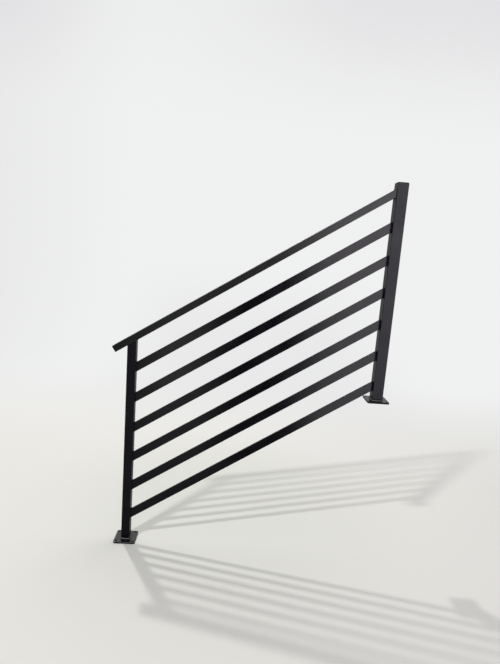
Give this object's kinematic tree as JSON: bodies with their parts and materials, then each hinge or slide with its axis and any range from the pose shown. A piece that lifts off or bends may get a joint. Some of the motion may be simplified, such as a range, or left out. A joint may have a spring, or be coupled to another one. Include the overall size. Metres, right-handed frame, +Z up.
{
  "type": "aluminium stair guardrail section",
  "caption": "Sloping black guardrail section for a stair: two square posts on bolt-down base plates, flat infill bars and a rectangular handrail.",
  "frame": {"origin": "centre of the lower base plate's underside", "axes": "+Z up the posts, +X along the rail towards the upper post, the front faces -Y"},
  "size_m": [1.3153, 0.104, 1.811],
  "materials": {
    "post_coat": "fine semi-gloss black powder coat",
    "handrail_coat": "fine semi-gloss black powder coat",
    "bar_coat": "fine semi-gloss black powder coat",
    "plate_coat": "fine semi-gloss black powder coat",
    "weld_coat": "fine semi-gloss black powder coat"
  },
  "bodies": {
    "root": {"lower_base_plate": "plate_coat", "upper_base_plate": "plate_coat", "lower_post": "post_coat", "upper_post": "post_coat", "upper_post_cap": "post_coat", "handrail": "handrail_coat", "handrail_end_cap": "handrail_coat", "post_foot_welds": "weld_coat", "handrail_welds": "weld_coat", "infill_bar_1": "bar_coat", "bar_1_welds": "weld_coat", "infill_bar_2": "bar_coat", "bar_2_welds": "weld_coat", "infill_bar_3": "bar_coat", "bar_3_welds": "weld_coat", "infill_bar_4": "bar_coat", "bar_4_welds": "weld_coat", "infill_bar_5": "bar_coat", "bar_5_welds": "weld_coat", "infill_bar_6": "bar_coat", "bar_6_welds": "weld_coat"}
  },
  "joints": []
}
